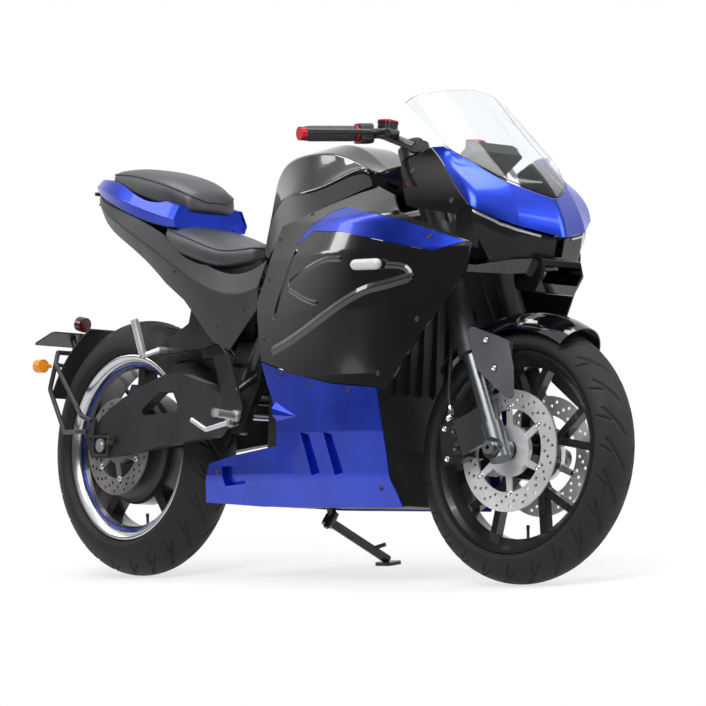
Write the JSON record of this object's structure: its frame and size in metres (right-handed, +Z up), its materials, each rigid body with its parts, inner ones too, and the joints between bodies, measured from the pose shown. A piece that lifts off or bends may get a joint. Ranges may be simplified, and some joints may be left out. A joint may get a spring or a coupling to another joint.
{
  "type": "electric sport motorcycle",
  "caption": "Fully faired electric sport bike with a hub motor in the rear wheel, free wheels, turning fork and a folding side stand.",
  "frame": {"origin": "on the floor under the middle of the parked bike", "axes": "+X forward, +Y to the rider's left, +Z up"},
  "size_m": [2.0663, 0.7093, 1.1209],
  "materials": {
    "black_frame": "satin black paint",
    "case_black": "matt black moulding",
    "dark_grey_metal": "dark grey cast finish",
    "steel": "bare steel",
    "silver_metal": "bright cast",
    "black_paint": "gloss black",
    "blue_paint": "metallic blue gloss",
    "grey_panel": "satin dark grey",
    "seat_vinyl": "grained vinyl",
    "smoked_lens": "smoked lens",
    "clear_screen": "clear",
    "lamp_red": "red lens",
    "lamp_amber": "amber lens",
    "tyre_rubber": "matt rubber",
    "black_wheel": "black cast wheel",
    "grip_rubber": "moulded rubber",
    "red_trim": "red anodised",
    "stand_steel": "black paint"
  },
  "bodies": {
    "chassis": {"main_frame": "black_frame", "battery_case": "case_black", "swingarm": "dark_grey_metal", "rear_axle": "steel", "pivot_bolt": "steel", "rear_shock": "dark_grey_metal", "rear_caliper": "dark_grey_metal", "plate_carrier": "case_black", "rear_lamps": "lamp_red", "indicators": "lamp_amber", "tank_cover": "black_paint", "rider_seat": "seat_vinyl", "pillion_seat": "seat_vinyl", "tail_cowl": "blue_paint", "tail_panels": "grey_panel", "undertail": "case_black", "side_panels": "black_paint", "accent_strips": "blue_paint", "belly_pans": "blue_paint", "inner_panel": "case_black", "nose_cowl": "blue_paint", "nose_panels": "black_paint", "headlamps": "smoked_lens", "windscreen": "clear_screen", "dashboard": "case_black", "foot_controls": "silver_metal"},
    "fork": {"fork_tubes": "dark_grey_metal", "fork_lowers": "dark_grey_metal", "triple_clamps": "black_frame", "front_axle": "steel", "front_fender": "black_paint", "fender_stays": "grey_panel", "front_calipers": "dark_grey_metal", "handlebars": "black_frame", "grips": "grip_rubber", "bar_ends": "red_trim", "brake_hoses": "grip_rubber"},
    "front_wheel": {"front_tyre": "tyre_rubber", "front_rim": "black_wheel", "front_discs": "steel"},
    "rear_wheel": {"rear_tyre": "tyre_rubber", "rear_rim": "black_wheel", "hub_motor": "black_wheel", "rear_disc": "steel"},
    "side_stand": {"side_stand": "stand_steel"}
  },
  "joints": [
    {"name": "steering", "type": "hinge", "parent": "chassis", "child": "fork", "pos_m": [0.71199, -0.11443, 0.27803], "axis": [-0.4213, 0.1574, 0.8932], "range_deg": [-34.7, 19.3]},
    {"name": "front_wheel_spin", "type": "hinge", "parent": "fork", "child": "front_wheel", "pos_m": [0.73895, -0.10829, 0.28966], "axis": [-0.1218, 0.9661, -0.2277], "continuous": true},
    {"name": "rear_wheel_spin", "type": "hinge", "parent": "chassis", "child": "rear_wheel", "pos_m": [-0.66077, -0.10875, 0.31229], "axis": [-0.0003, 0.9848, -0.1736], "continuous": true},
    {"name": "side_stand_fold", "type": "hinge", "parent": "chassis", "child": "side_stand", "pos_m": [-0.04906, -0.05231, 0.12473], "axis": [0.0616, 0.6408, 0.7652], "range_deg": [0, 92.3]}
  ]
}
